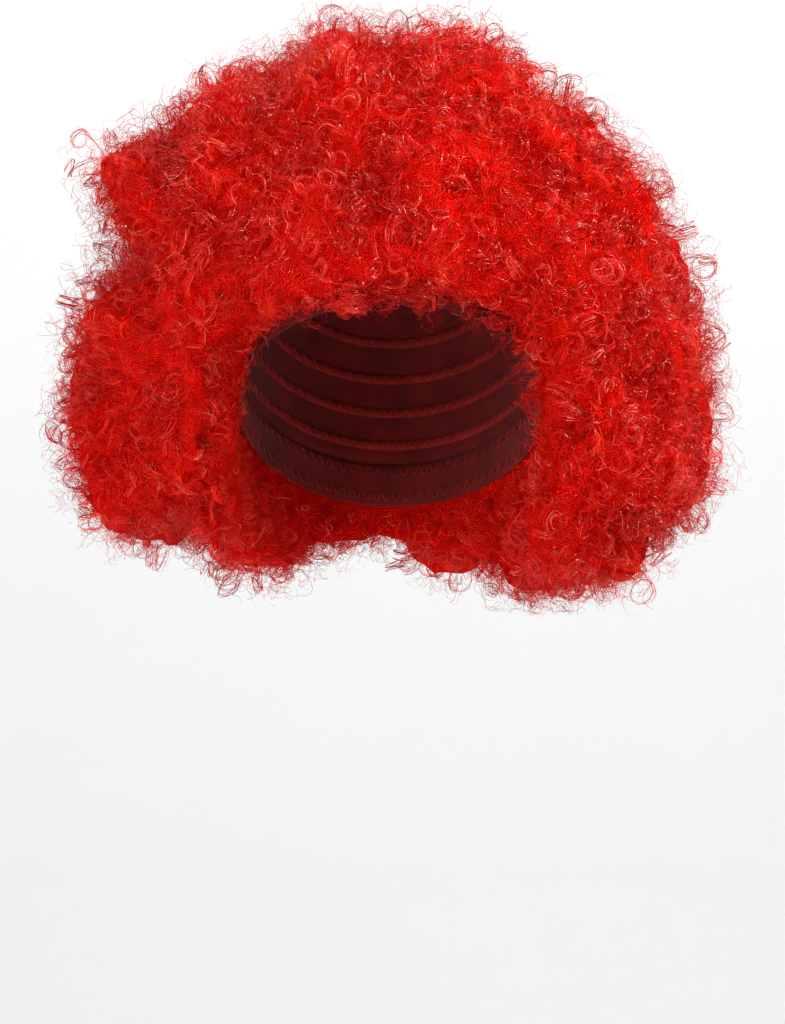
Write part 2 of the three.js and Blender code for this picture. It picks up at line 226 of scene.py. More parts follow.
class Shading:
    """A material under construction, with short ways to add and join its nodes."""

    def __init__(self, name: str) -> None:
        """Starts a material with one Principled shader.

        Args:
            name: The material's name.
        """
        self.material = bpy.data.materials.new(name)
        self.material.use_nodes = True
        self.tree = self.material.node_tree
        self.shader = self.tree.nodes["Principled BSDF"]

    def add(self, kind: str, **settings: object) -> bpy.types.Node:
        """Adds a node.

        Args:
            kind: The node's type.
            settings: The node's settings by name.

        Returns:
            The new node.
        """
        node = self.tree.nodes.new(kind)
        for key, value in settings.items():
            setattr(node, key, value)
        return node

    def join(self, start: bpy.types.NodeSocket, end: bpy.types.NodeSocket) -> None:
        """Joins an output to an input."""
        self.tree.links.new(start, end)

    def set(self, **values: object) -> None:
        """Sets the shader's own sockets, by their names with spaces as underscores."""
        for key, value in values.items():
            self.shader.inputs[key.replace("_", " ")].default_value = value

    def place(self) -> bpy.types.NodeSocket:
        """The place on the object, in its own coordinates."""
        return self.add("ShaderNodeTexCoord").outputs["Object"]

    def noise(self, scale: float, detail: float = 3.0, distortion: float = 0.0) -> bpy.types.NodeSocket:
        """Noise on the object's coordinates.

        Args:
            scale: Noise cells in a metre.
            detail: Octaves.
            distortion: How much it swirls.

        Returns:
            The socket with a value from 0 to 1.
        """
        node = self.add("ShaderNodeTexNoise")
        node.inputs["Scale"].default_value = scale
        node.inputs["Detail"].default_value = detail
        node.inputs["Distortion"].default_value = distortion
        self.join(self.place(), node.inputs["Vector"])
        return node.outputs["Fac"]

    def ramp(self, value: bpy.types.NodeSocket, stops: list[tuple[float, tuple]]) -> bpy.types.NodeSocket:
        """Turns a value into a colour.

        Args:
            value: The socket to read.
            stops: Positions and linear colours.

        Returns:
            The socket with the colour.
        """
        node = self.add("ShaderNodeValToRGB")
        elements = node.color_ramp.elements
        while len(elements) < len(stops):
            elements.new(0.5)
        for element, (position, colour) in zip(elements, stops):
            element.position = position
            element.color = (*colour, 1.0)
        self.join(value, node.inputs["Fac"])
        return node.outputs["Color"]

    def colour(self, value: bpy.types.NodeSocket, stops: list[tuple[float, tuple]]) -> None:
        """Colours the shader by a value, with the stops of a ramp."""
        self.join(self.ramp(value, stops), self.shader.inputs["Base Color"])

    def apart(self, vector: bpy.types.NodeSocket) -> bpy.types.NodeOutputs:
        """The X, Y and Z of a vector."""
        parts = self.add("ShaderNodeSeparateXYZ")
        self.join(vector, parts.inputs["Vector"])
        return parts.outputs

    def tone_map(self) -> bpy.types.NodeOutputs:
        """The place on the piece's own map, as X and Y."""
        return self.apart(self.add("ShaderNodeUVMap", uv_map=TONE_MAP).outputs["UV"])

    def math(self, operation: str, *values: object) -> bpy.types.NodeSocket:
        """One step of arithmetic.

        Args:
            operation: The operation's name.
            values: Numbers or sockets.

        Returns:
            The result's socket.
        """
        node = self.add("ShaderNodeMath", operation=operation)
        for socket, value in zip(node.inputs, values):
            if isinstance(value, (int, float)):
                socket.default_value = value
            else:
                self.join(value, socket)
        return node.outputs[0]

    def bump(self, height: bpy.types.NodeSocket, depth: float, strength: float) -> None:
        """Adds a bump to the shader.

        Args:
            height: The socket with the height, from 0 to 1.
            depth: The height of 1, in metres.
            strength: How strong the bump is.
        """
        node = self.add("ShaderNodeBump")
        node.inputs["Strength"].default_value = strength
        node.inputs["Distance"].default_value = depth
        self.join(height, node.inputs["Height"])
        self.join(node.outputs["Normal"], self.shader.inputs["Normal"])


@dataclass(frozen=True)
class FibreFinish:
    """Silky red synthetic fibre, each fibre with a tone of its own and fine stripes along a bundle, with
    painted shade towards the root and painted highlights in the top tones.
    """

    name: str = "red_fibre"
    deep: tuple = (0.40, 0.0012, 0.0010)
    usual: tuple = (0.76, 0.0018, 0.0010)
    warm_tone_and_highlight: tuple = (0.90, 0.036, 0.014)
    painted_glint: tuple = (1.0, 0.30, 0.20)
    roughness: float = 0.32
    gloss: float = 0.14
    tint: tuple = (1.0, 0.4, 0.3)
    stripe: float = 0.0075

    def material(self) -> bpy.types.Material:
        """Makes the material."""
        look = Shading(self.name)
        at = look.tone_map()
        stripes = look.math("SINE", look.math("MULTIPLY", at["X"], math.tau / self.stripe))
        # Painted shade: the tone rises by up to 0.2 from root to tip, so each fibre is darker where it starts
        # in the mass.
        along = look.math("MULTIPLY", at["Y"], 0.2)
        tone = look.math("MULTIPLY_ADD", at["X"], 0.8, along)
        striped = look.math("MULTIPLY_ADD", stripes, 0.08, tone)
        # The warm stop is orange fibre tone and partly painted highlight; the top stop is a painted pinkish
        # glint.
        look.colour(striped, [(0.05, self.deep), (0.42, self.usual), (0.78, self.warm_tone_and_highlight), (0.97, self.painted_glint)])
        look.set(
            Roughness=self.roughness, Specular_IOR_Level=self.gloss, Specular_Tint=(*self.tint, 1.0)
        )
        return look.material


@dataclass(frozen=True)
class MassFinish:
    """The tangle of fibre below the curls: arcs of fibre side by side, with painted shade in the hollows
    between the arcs and a painted highlight on their crests.
    """

    painted_hollow_shade: tuple = (0.40, 0.0006, 0.0005)
    usual: tuple = (0.66, 0.0014, 0.0008)
    painted_crest_highlight: tuple = (0.84, 0.022, 0.011)
    curl: float = 13 * MM
    fibre: float = 0.9 * MM
    roughness: float = 0.8

    def arcs(self, look: Shading, curl: float) -> bpy.types.NodeSocket:
        """Arcs of fibre that run round centres all over the mass.

        Args:
            look: The material under construction.
            curl: The distance between centres.

        Returns:
            The socket with the arcs, from 0 to 1.
        """
        swirl = look.add("ShaderNodeTexNoise")
        swirl.inputs["Scale"].default_value = 140.0
        swirl.inputs["Detail"].default_value = 2.0
        look.join(look.place(), swirl.inputs["Vector"])
        blend = look.add("ShaderNodeVectorMath", operation="MULTIPLY_ADD")
        blend.inputs[1].default_value = (6 * MM,) * 3
        look.join(swirl.outputs["Color"], blend.inputs[0])
        look.join(look.place(), blend.inputs[2])
        centres = look.add("ShaderNodeTexVoronoi")
        centres.inputs["Scale"].default_value = 1 / curl
        look.join(blend.outputs["Vector"], centres.inputs["Vector"])
        turns = look.math("MULTIPLY", centres.outputs["Distance"], math.tau * curl / self.fibre)
        return look.math("MULTIPLY_ADD", look.math("SINE", turns), 0.5, 0.5)

    def material(self) -> bpy.types.Material:
        """Makes the material."""
        look = Shading("red_fibre_mass")
        wide, small = self.arcs(look, self.curl), self.arcs(look, 0.6 * self.curl)
        fibres = look.math("MULTIPLY_ADD", wide, 0.55, look.math("MULTIPLY", small, 0.45))
        lumps = look.noise(90.0, 4.0, 0.6)
        mixed = look.math("MULTIPLY_ADD", fibres, 0.55, look.math("MULTIPLY", lumps, 0.45))
        # Painted shade where the arcs' bump is low and painted highlight where it is high, mixed with darker
        # and lighter patches of noise.
        look.colour(mixed, [(0.25, self.painted_hollow_shade), (0.48, self.usual), (0.72, self.painted_crest_highlight)])
        look.bump(fibres, 0.8 * MM, 0.9)
        look.set(Roughness=self.roughness, Specular_IOR_Level=0.0)
        return look.material


@dataclass(frozen=True)
class KnitFinish:
    """A knitted cloth with fine wales, for the cap and the tapes sewn on it."""

    name: str
    deep: tuple
    usual: tuple
    wales: float = 620.0
    roughness: float = 0.85

    def material(self) -> bpy.types.Material:
        """Makes the material."""
        look = Shading(self.name)
        at = look.tone_map()
        across = look.math("SINE", look.math("MULTIPLY", at["X"], self.wales * math.tau))
        rows = look.math("SINE", look.math("MULTIPLY", at["Y"], self.wales * math.tau))
        stitch = look.math("MULTIPLY_ADD", look.math("MULTIPLY", across, rows), 0.5, 0.5)
        blend = look.math("MULTIPLY_ADD", look.noise(60.0, 4.0), 0.6, look.math("MULTIPLY", stitch, 0.4))
        look.colour(blend, [(0.25, self.deep), (0.75, self.usual)])
        look.bump(stitch, 0.35 * MM, 0.7)
        look.set(Roughness=self.roughness, Specular_IOR_Level=0.15, Sheen_Weight=0.08)
        return look.material


@dataclass(frozen=True)
class ThreadFinish:
    """Sewing thread."""

    colour: tuple = (0.42, 0.012, 0.010)

    def material(self) -> bpy.types.Material:
        """Makes the material."""
        look = Shading("sewing_thread")
        shaded = tuple(0.6 * c for c in self.colour)
        look.colour(look.noise(900.0, 2.0), [(0.3, shaded), (0.7, self.colour)])
        look.set(Roughness=0.55, Specular_IOR_Level=0.4)
        return look.material


@dataclass(frozen=True)
class StudioFinish:
    """Plain pale paper for the floor and the backdrop, with painted shade that makes it a little greyer
    towards the floor.
    """

    colour: tuple = (0.86, 0.86, 0.86)
    shade_painted_below: float = -0.5
    white_above: float = 0.1

    def material(self) -> bpy.types.Material:
        """Makes the material."""
        look = Shading("studio_paper")
        span = self.white_above - self.shade_painted_below
        up = look.apart(look.place())["Z"]
        height = look.math("MULTIPLY_ADD", up, 1 / span, -self.shade_painted_below / span)
        # Painted shade: the paper's colour falls to 0.89 of itself towards the floor.
        look.colour(height, [(0.0, tuple(0.89 * c for c in self.colour)), (1.0, self.colour)])
        look.set(Roughness=0.95, Specular_IOR_Level=0.1)
        return look.material


# Head form


@dataclass(frozen=True)
class HeadForm:
    """The head that the cap fits, as in the solids.

    The plane of the cap's edge slants from the front down to the nape.
    """

    width: float = 148 * MM
    length: float = 188 * MM
    crown_height: float = 86 * MM
    neck_half_width: float = 62 * MM
    neck_depth: float = 150 * MM
    fullness: float = 0.9
    front_edge_drop: float = 50 * MM
    nape_edge_drop: float = 148 * MM

    def half_outline(self, offset: float, count: int = 160) -> tuple[Array, Array]:
        """The form's half width from the crown down to the end of the neck.

        Args:
            offset: How far the outline is grown.
            count: The number of levels.

        Returns:
            Half widths and heights.
        """
        turn = np.linspace(0.0, math.pi / 2, count)
        out = (self.width / 2 + offset) * np.sin(turn) ** self.fullness
        up = (self.crown_height + offset) * np.cos(turn) ** self.fullness - self.crown_height
        down = np.linspace(0.0, 1.0, count // 2)[1:]
        ease = down * down * (3 - 2 * down)
        neck = (self.width / 2 + offset) + (self.neck_half_width - self.width / 2) * ease
        low = -self.crown_height - down * self.neck_depth
        return np.concatenate([out, neck]), np.concatenate([up, low])

    def above_edge(self, points: Array) -> Array:
        """How far points lie above the plane of the cap's edge.

        Args:
            points: Positions, one row each.

        Returns:
            Heights over the plane.
        """
        slant = math.atan2(self.nape_edge_drop - self.front_edge_drop, self.length)
        middle = -(self.front_edge_drop + self.nape_edge_drop) / 2
        return (points[..., 2] - middle) * math.cos(slant) + points[..., 1] * math.sin(slant)

    def meridian(self, bearing: float, top: float | None, bottom: float, offset: float, count: int) -> Array:
        """Points down the form at one bearing, evenly spaced.

        Args:
            bearing: From +X towards +Y, in radians.
            top: Height above the edge plane where it starts, or None for the crown.
            bottom: Height above the edge plane where it ends.
            offset: How far the form is grown.
            count: The number of points.

        Returns:
            Positions, one row each, from the top down.
        """
        out, up = self.half_outline(offset)
        ratio = self.length / self.width
        line = np.stack([out * math.cos(bearing), out * ratio * math.sin(bearing), up], axis=1)
        height = self.above_edge(line)
        run = np.concatenate([[0.0], np.cumsum(np.linalg.norm(np.diff(line, axis=0), axis=1))])
        start = 0.0 if top is None else np.interp(-top, -height, run)
        end = np.interp(-bottom, -height, run)
        marks = np.linspace(start, end, count)
        return np.stack([np.interp(marks, run, line[:, k]) for k in range(3)], axis=1)

    def outside(self, points: Array) -> Array:
        """How far points lie outside the form, with inside negative.

        Args:
            points: Positions, one row each.

        Returns:
            Distances, exact at the surface and rough away from it.
        """
        out, up = self.half_outline(0.0)
        flat = np.hypot(points[:, 0], points[:, 1] * self.width / self.length)
        beside = flat - np.interp(-points[:, 2], -up, out)
        power = 2 / self.fullness
        rise = np.maximum(points[:, 2] + self.crown_height, 0.0) / self.crown_height
        dome = ((2 * flat / self.width) ** power + rise**power) ** (1 / power) - 1
        return np.where(points[:, 2] > -self.crown_height, dome * self.crown_height, beside)


# Hair


@dataclass(frozen=True)
class Trim:
    """A place on the outline, seen from the front, where the mass stands further out or in."""

    turn: float
    extra: float
    spread: float


def trim_table(*rows: tuple[float, float, float]) -> tuple[Trim, ...]:
    """Trims from rows of a turn in degrees, an extra in millimetres and a spread in degrees."""
    return tuple(Trim(turn, extra * MM, spread) for turn, extra, spread in rows)


def swell(trims: tuple[Trim, ...], spoke: Array, edge_on: int) -> Array:
    """How far trims move things out along each direction from the hair's centre.

    Args:
        trims: The trims.
        spoke: Directions from the hair's centre.
        edge_on: How strongly the move is held to what lies edge on to the front.

    Returns:
        Distances.
    """
    turn = np.degrees(np.arctan2(spoke[:, 2], spoke[:, 0]))
    total = np.zeros(len(spoke))
    for trim in trims:
        away = (turn - trim.turn + 180) % 360 - 180
        total += trim.extra * np.exp(-((away / trim.spread) ** 2))
    return total * np.clip(np.hypot(spoke[:, 0], spoke[:, 2]), 0, 1) ** edge_on


@dataclass
class FibreMass:
    """The dense inner hair, made as one rounded form and then cut into the wig's sections.

    It stands a little inside the solids, so that the curls on it reach their outline. The cuts are the
    solids' own: a cone for the crown and upright planes for the rest, all through the hair's centre.
    """

    head: HeadForm
    voxel: float = 4.6 * MM
    smoothing: int = 9
    growth: float = 3.5 * MM
    relief: float = 3.2 * MM
    clearance: float = 2.3 * MM
    evening: float = 0.55
    evening_angle: float = 9.0
    wall_shift: tuple = mm(-5, 1)
    brow_lift: tuple = mm(4.0, 0.8)
    seam: float = 0.05 * MM
    lowest: float = -182 * MM
    lowest_rise: float = 13 * MM
    filled_below: float = -156 * MM
    filling: float = 4.5 * MM
    crown_angle: float = 46.0
    fringe_angle: float = 42.0
    back_angle: float = 40.0
    trims: tuple = trim_table(
        (101, 13, 6), (88, -3, 5), (62, -6, 7), (30, -1, 6), (20, -1, 9), (7, -7, 9), (346, 1, 8),
        (331, 12, 8), (320, -6, 5), (312, 2, 9), (299, 5, 9), (240, 9, 8), (224, -13, 7), (213, 13, 6),
        (196, -4, 5), (180, 2, 7), (168, -22, 7), (150, 18, 7), (140, -10, 5), (120, -4, 6),
    )

    def evened(self, spoke: Array, reach: Array, outer: Array) -> Array:
        """How far each point of the outer side moves so that its lumps stand out less.

        Args:
            spoke: Directions from the hair's centre.
            reach: Distances from it.
            outer: How much each point belongs to the outer side, from 0 to 1.

        Returns:
            Distances.
        """
        known = outer > 0.5
        rays, far, moved = spoke[known].astype(np.float32), reach[known], np.zeros(len(reach))
        sharp = 1 / math.radians(self.evening_angle) ** 2
        for start in range(0, len(reach), 1500):
            near = np.exp((spoke[start : start + 1500].astype(np.float32) @ rays.T - 1) * 2 * sharp)
            middle = (near @ far) / np.maximum(near.sum(1), 1e-6)
            moved[start : start + 1500] = middle - reach[start : start + 1500]
        return moved * outer * self.evening

    def whole(self, solids: list[bpy.types.Object]) -> bpy.types.Object:
        """Makes the mass of the whole wig.

        Args:
            solids: The sections' solids.

        Returns:
            The mass, uncut.
        """
        copies = [placed("hair_mass", solid.data.copy()) for solid in solids]
        deselect_all()
        for copy in copies:
            copy.select_set(True)
        thing = copies[0]
        bpy.context.view_layer.objects.active = thing
        bpy.ops.object.join()
        apply_modifier(thing, "WELD", merge_threshold=1e-6)
        apply_modifier(thing, "REMESH", mode="VOXEL", voxel_size=self.voxel)
        apply_modifier(thing, "SMOOTH", factor=0.5, iterations=self.smoothing)
        points, normals = points_of(thing), normals_of(thing)
        spoke = unit(points - np.array(HAIR_CENTRE))
        outward = (spoke * normals).sum(1)
        wall = (np.abs(points[:, 0]) < 90 * MM) & (points[:, 1] < -20 * MM) & (np.abs(normals[:, 0]) > 0.4)
        wall &= outward < 0.4
        shift = np.where(points[:, 0] < 0, *self.wall_shift)
        points += normals * (shift * wall * np.clip(-points[:, 2] / 0.1 - 0.6, 0, 1))[:, None]
        points[:, 2] += self.brow(points)
        outer = np.clip((outward - 0.1) / 0.4, 0.0, 1.0) * (self.head.outside(points) > 20 * MM)
        fade = self.fade(points)
        points += spoke * self.evened(spoke, np.linalg.norm(points - HAIR_CENTRE, axis=1), outer)[:, None]
        points += spoke * (fade * (swell(self.trims, spoke, 6) + self.growth))[:, None]
        low = np.clip((self.filled_below - points[:, 2]) / (8 * MM), 0.0, 1.0)
        points += normals * (low * self.filling)[:, None]
        move_points(thing, points)
        apply_modifier(thing, "REMESH", mode="VOXEL", voxel_size=self.voxel)
        apply_modifier(thing, "SMOOTH", factor=0.5, iterations=2)
        points = points_of(thing)
        spoke = unit(points - np.array(HAIR_CENTRE))
        rough = np.array([noise.fractal(Vector(p) * 95.0, 0.6, 2.0, 3) for p in points])
        points += spoke * (self.fade(points) * rough * self.relief)[:, None]
        points += spoke * np.maximum(self.clearance - self.head.outside(points), 0.0)[:, None]
        rise = self.lowest_rise * np.clip(-points[:, :1] / (60 * MM), 0.0, 1.0)
        move_points(thing, above_low(points, self.lowest + rise))
        return thing

    def brow(self, points: Array) -> Array:
        """How far each point rises to open the brow: more at the wearer's right than in the middle.

        Args:
            points: Positions, one row each.

        Returns:
            Heights.
        """
        front = np.clip((-points[:, 1] - 40 * MM) / (20 * MM), 0.0, 1.0)
        low = np.clip((-points[:, 2] - 34 * MM) / (26 * MM), 0.0, 1.0)
        middle = np.clip((74 * MM - np.abs(points[:, 0])) / (18 * MM), 0.0, 1.0)
        corner = np.exp(-(((points[:, 0] + 42 * MM) / (18 * MM)) ** 2))
        return front * low * middle * (self.brow_lift[0] + self.brow_lift[1] * corner)

    def fade(self, points: Array) -> Array:
        """How much each point is free to move: 0 by the head, 1 out in the hair."""
        free = np.clip((self.head.outside(points) - 5 * MM) / (14 * MM), 0.0, 1.0)
        return free * free * (3 - 2 * free)

    def cone(self, grown: float) -> bpy.types.Object:
        """The cone that holds the crown.

        Args:
            grown: How far its side moves out.

        Returns:
            The cutter.
        """
        deselect_all()
        height, turn = 0.4, math.radians(self.crown_angle)
        drop = grown / math.sin(turn)
        place = (HAIR_CENTRE[0], HAIR_CENTRE[1], HAIR_CENTRE[2] - drop + height / 2)
        bpy.ops.mesh.primitive_cone_add(
            vertices=64, radius1=0.0, radius2=height * math.tan(turn), depth=height, location=place
        )
        bpy.ops.object.transform_apply()
        return bpy.context.active_object

    def wedge(self, section: Section) -> bpy.types.Object:
        """The upright wedge that holds a section below the crown.

        Args:
            section: The section.

        Returns:
            The cutter.
        """
        front, back = self.fringe_angle, self.back_angle
        low, high = {
            Section.FRINGE: (270 - front, 270 + front),
            Section.BACK: (90 - back, 90 + back),
            Section.LEFT: (front - 90, 90 - back),
            Section.RIGHT: (90 + back, 270 - front),
        }[section]
        low, high = math.radians(low), math.radians(high)
        middle, reach = (low + high) / 2, 0.6
        inset = self.seam / math.sin((high - low) / 2)
        tip = (HAIR_CENTRE[0] + inset * math.cos(middle), HAIR_CENTRE[1] + inset * math.sin(middle))
        flat = [tip] + [(tip[0] + reach * math.cos(a), tip[1] + reach * math.sin(a)) for a in (low, high)]
        points = [(x, y, z) for z in (-0.4, 0.4) for x, y in flat]
        faces = [(0, 2, 1), (3, 4, 5), (0, 1, 4), (0, 4, 3), (1, 2, 5), (1, 5, 4), (2, 0, 3), (2, 3, 5)]
        return mesh_object("wedge", np.array(points), np.array(faces))

    def cut(self, thing: bpy.types.Object, cutter: bpy.types.Object, operation: str) -> None:
        """Cuts an object by a closed form with INTERSECT or DIFFERENCE, and removes the form."""
        apply_modifier(thing, "BOOLEAN", object=cutter, operation=operation, solver="MANIFOLD")
        bpy.data.objects.remove(cutter)

    def sections(self, solids: dict[Section, bpy.types.Object]) -> dict[Section, bpy.types.Object]:
        """Makes the mass of each section.

        Args:
            solids: The sections' solids.

        Returns:
            The masses, without their materials.
        """
        whole = self.whole(list(solids.values()))
        made = {}
        for section in Section:
            thing = placed(f"{section.value}_mass", whole.data.copy())
            if section is Section.CROWN:
                self.cut(thing, self.cone(-self.seam), "INTERSECT")
            else:
                self.cut(thing, self.wedge(section), "INTERSECT")
                self.cut(thing, self.cone(self.seam), "DIFFERENCE")
            apply_modifier(thing, "TRIANGULATE")
            make_active(thing)
            bpy.ops.object.shade_smooth_by_angle(angle=math.radians(55))
            made[section] = thing
        bpy.data.objects.remove(whole)
        return made


@dataclass
class Exposed:
    """The part of a fibre mass that shows, as triangles that curls can start on."""

    corners: Array
    normals: Array
    weights: Array
    calm: Array

    @classmethod
    def of(cls, mass: bpy.types.Object, tree: BVHTree, head: HeadForm) -> "Exposed":
        """Finds the triangles of a mass that face free space and not the cap.

        Args:
            mass: The fibre mass.
            tree: All the masses together.
            head: The head form.

        Returns:
            The triangles.
        """
        mass.data.calc_loop_triangles()
        index = np.empty(3 * len(mass.data.loop_triangles), np.int32)
        mass.data.loop_triangles.foreach_get("vertices", index)
        corners = points_of(mass)[index.reshape(-1, 3)]
        cross = np.cross(corners[:, 1] - corners[:, 0], corners[:, 2] - corners[:, 0])
        areas = np.linalg.norm(cross, axis=1) / 2
        normals = unit(cross)
        middles = corners.mean(axis=1)
        by_cap = (head.outside(middles) < 5 * MM) & (head.above_edge(middles) > -2 * MM)
        shows = ~by_cap & (areas > 1e-10)
        for i in np.flatnonzero(shows):
            start = Vector(middles[i] + normals[i] * 0.06 * MM)
            if tree.ray_cast(start, Vector(normals[i]), 7 * MM)[0] is not None:
                shows[i] = False
        corners, normals, areas, middles = (rows[shows] for rows in (corners, normals, areas, middles))
        outward = (normals * unit(middles - np.array(HAIR_CENTRE))).sum(1)
        inner = np.clip((0.25 - outward) / 0.5, 0.0, 1.0)
        toward_face = (np.abs(middles[:, 0]) < 85 * MM) & (middles[:, 1] < -20 * MM)
        at_right = np.where(middles[:, 0] > 0, 0.8, 0.1)
        calm = np.where(toward_face, 1 - inner * (1 - at_right), 1 - 0.6 * inner)
        calm = np.maximum(calm, 0.85 * np.clip((-middles[:, 2] - 138 * MM) / (20 * MM), 0.0, 1.0))
        return cls(corners, normals, areas * (1 - 0.35 * inner), calm)

    def scatter(self, count: int, rng: np.random.Generator) -> tuple[Array, Array, Array]:
        """Spreads points over the triangles by their area.

        Args:
            count: The number of points.
            rng: The source of chance.

        Returns:
            Positions, normals and how full curls may stand there, one row each.
        """
        pick = rng.choice(len(self.weights), count, p=self.weights / self.weights.sum())
        u, v = rng.random(count), rng.random(count)
        fold = u + v > 1
        u[fold], v[fold] = 1 - u[fold], 1 - v[fold]
        a, b, c = (self.corners[pick, k] for k in range(3))
        return a + u[:, None] * (b - a) + v[:, None] * (c - a), self.normals[pick], self.calm[pick]


@dataclass
class RingletStyle:
    """The shape of one kind of curl. Ranges are drawn from evenly."""

    fibres: int
    radius: tuple[float, float]
    turns: tuple[float, float]
    pitch: tuple[float, float]
    lift: tuple[float, float]
    rise: tuple[float, float]
    width: tuple[float, float]
    steps: int
    spread: float = 0.09
    wander: float = 0.7 * MM
    fall: float = 0.0
    root: float = 0.0
    loose: tuple = trim_table((172, 14, 6), (150, 5, 9), (96, 4, 14), (8, 5, 14))

    def stray(self, places: Array) -> Array:
        """How much further from the mass curls may stand, for each place where one starts."""
        return swell(self.loose, unit(places - np.array(HAIR_CENTRE)), 4)

    def fibre_paths(
        self, places: Array, normals: Array, calm: Array, rng: np.random.Generator
    ) -> tuple[Array, Array, Array]:
        """Curled paths, several side by side for each place.

        Args:
            places: Where the curls start.
            normals: Which way is out there.
            calm: How full each curl may stand, from 0 to 1.
            rng: The source of chance.

        Returns:
            Paths (fibre, step, xyz), the outward spoke of the curl at each step, and how far each
            fibre's curl stands off the mass.
        """
        curls = len(places)
        noise.seed_set(FLOW_SEED)
        flow = np.array([noise.noise_vector(Vector(place) * 26.0) for place in places])
        aim = unit(flow) + 0.55 * rng.normal(size=(curls, 3)) - self.fall * np.array([0.0, 0.0, 1.0])
        tangent = unit(aim - (aim * normals).sum(1, keepdims=True) * normals)
        tilt = np.radians(rng.uniform(*self.rise, curls))[:, None]
        axis = unit(tangent * np.cos(tilt) + normals * np.sin(tilt))
        inward = unit(-normals + (normals * axis).sum(1, keepdims=True) * axis)
        side = np.cross(axis, inward)
        draws = {
            "radius": rng.uniform(*self.radius, curls) * (0.35 + 0.65 * calm),
            "turns": rng.uniform(*self.turns, curls),
            "pitch": rng.uniform(*self.pitch, curls),
            "lift": rng.uniform(*self.lift, curls) * calm,
            "stray": self.stray(places) * rng.random(curls) * (self.lift[1] > 6 * MM),
            "hand": rng.choice([-1.0, 1.0], curls),
            "taper": rng.uniform(-0.15, 0.5, curls),
        }
        many = {key: np.repeat(value, self.fibres)[:, None] for key, value in draws.items()}
        place, out, axis, inward, side = (
            np.repeat(rows, self.fibres, axis=0)[:, None, :] for rows in (places, normals, axis, inward, side)
        )
        fibres = curls * self.fibres
        along = np.linspace(0.0, 1.0, self.steps + 1)[None, :]
        loose = rng.normal(size=(fibres, 4))
        radius = many["radius"] * (1 + self.spread * loose[:, :1]) * (1 - many["taper"] * along)
        turns = many["turns"] * (1 + 0.07 * loose[:, 1:2])
        angle = math.tau * turns * along * many["hand"] + 0.2 * loose[:, 2:3]
        travel = many["pitch"] * turns * (along - 0.35) + 0.6 * MM * loose[:, 3:4]
        spoke = inward * np.cos(angle)[..., None] + side * np.sin(angle)[..., None]
        height = many["lift"] + many["stray"]
        rise = np.clip(along / max(self.root, 1e-6) + (self.root == 0), 0.0, 1.0)
        stand = height * rise * rise * (3 - 2 * rise)
        path = place + out * stand[..., None] + axis * travel[..., None] + spoke * radius[..., None]
        phase = rng.uniform(0, math.tau, (fibres, 1, 3))
        beat = rng.uniform(1.0, 2.6, (fibres, 1, 3))
        path = path + self.wander * np.sin(phase + math.tau * beat * along[..., None])
        return path, spoke, height[:, 0]


@dataclass
class FibreCloud:
    """Many thin flat fibres, gathered up into one mesh and shaded as if they were round."""

    name: str
    points: list[Array] = field(default_factory=list)
    normals: list[Array] = field(default_factory=list)
    faces: list[Array] = field(default_factory=list)
    uv: list[Array] = field(default_factory=list)
    total: int = 0

    def add(
        self, paths: Array, spokes: Array, width: tuple[float, float], tone: Array, rng: np.random.Generator
    ) -> None:
        """Adds a flat ribbon along each path.

        Args:
            paths: Paths (fibre, step, xyz).
            spokes: A direction across each path at each step.
            width: The range of the ribbons' widths. The wider, the more stripes it shows.
            tone: Each fibre's tone, from 0 to 1.
            rng: The source of chance.
        """
        fibres, steps, _ = paths.shape
        tangent = unit(np.gradient(paths, axis=1))
        across = unit(np.cross(tangent, spokes))
        flat = np.cross(across, tangent)
        roll = rng.uniform(-1.1, 1.1, (fibres, 1, 1))
        edge = across * np.cos(roll) + flat * np.sin(roll)
        along = np.linspace(0.0, 1.0, steps)
        taper = 0.35 + 0.65 * np.sqrt(np.clip(1 - along**3, 0, 1))
        wide = rng.uniform(*width, fibres)
        half = (wide[:, None] * taper[None, :] / 2)[..., None]
        pairs = np.stack([paths - edge * half, paths + edge * half], axis=2)
        face = np.cross(edge, tangent)
        rounded = unit(np.stack([face - edge, face + edge], axis=2))
        start = self.total + np.arange(fibres)[:, None] * steps * 2 + np.arange(steps - 1)[None, :] * 2
        quads = np.stack([start, start + 1, start + 3, start + 2], axis=-1).reshape(-1, 4)
        uv = np.empty((fibres, steps, 2, 2))
        span = np.clip(wide / (1.0 * MM), 0.1, 1.0)[:, None, None] * 0.014
        uv[..., 0] = np.clip(tone[:, None, None] + span * np.array([-1.0, 1.0])[None, None, :], 0.0, 1.0)
        uv[..., 1] = along[None, :, None]
        self.points.append(pairs.reshape(-1, 3))
        self.normals.append(rounded.reshape(-1, 3))
        self.faces.append(quads)
        self.uv.append(uv.reshape(-1, 2))
        self.total += fibres * steps * 2

    def build(self) -> bpy.types.Object:
        """Makes the mesh."""
        thing = mesh_object(
            self.name, np.concatenate(self.points), np.concatenate(self.faces), np.concatenate(self.uv)
        )
        shade_smooth(thing)
        thing.data.normals_split_custom_set_from_vertices(np.concatenate(self.normals).tolist())
        return thing


